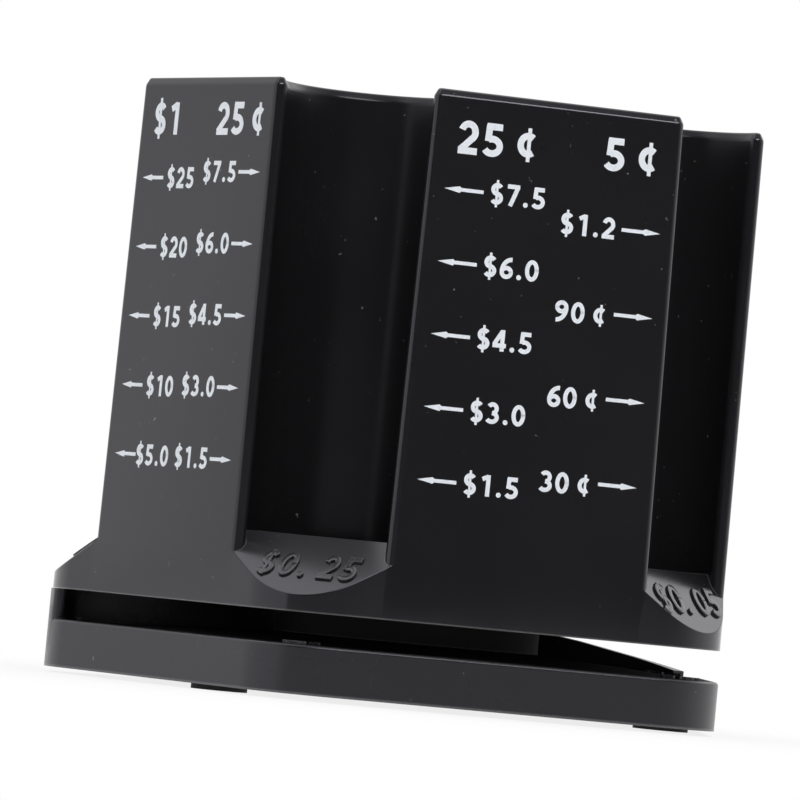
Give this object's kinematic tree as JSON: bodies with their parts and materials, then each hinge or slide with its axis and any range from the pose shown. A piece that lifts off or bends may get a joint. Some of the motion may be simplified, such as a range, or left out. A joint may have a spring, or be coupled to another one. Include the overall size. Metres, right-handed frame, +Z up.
{
  "type": "coin sorting tower",
  "caption": "Black five-sided coin bank tower with an open coin channel at each corner, sloping finger scoops and printed money scales, turning on a five-sided base.",
  "frame": {"origin": "on the swivel axis, in the plane that the four feet stand on", "axes": "+Z up along the swivel axis; -Y out of the side face between the quarter and nickel channels, with the quarter channel on the -X side"},
  "size_m": [0.1028, 0.0992, 0.0887],
  "materials": {
    "black_plastic": "satin moulded black, lightly grained",
    "dark_plastic": "matt moulded black",
    "zinc_steel": "zinc-plated",
    "bush_bronze": "sintered bronze",
    "slip_plastic": "natural slippery plastic",
    "foot_rubber": "matt black rubber"
  },
  "bodies": {
    "base": {"base_shell": "black_plastic", "base_cover": "dark_plastic", "cover_screws": "zinc_steel", "pivot_bush": "bush_bronze", "slip_ring": "slip_plastic", "foot_1": "foot_rubber", "foot_2": "foot_rubber", "foot_3": "foot_rubber", "foot_4": "foot_rubber"},
    "tower": {"coin_tower": "black_plastic", "tower_floor": "dark_plastic", "floor_screws": "zinc_steel", "pivot_bolt": "zinc_steel", "head_washer": "zinc_steel", "nut_washer": "zinc_steel", "lock_nut": "zinc_steel"}
  },
  "joints": [
    {"name": "swivel", "type": "hinge", "parent": "base", "child": "tower", "pos_m": [0, 0, 0.0129], "axis": [0, 0, 1], "continuous": true}
  ]
}
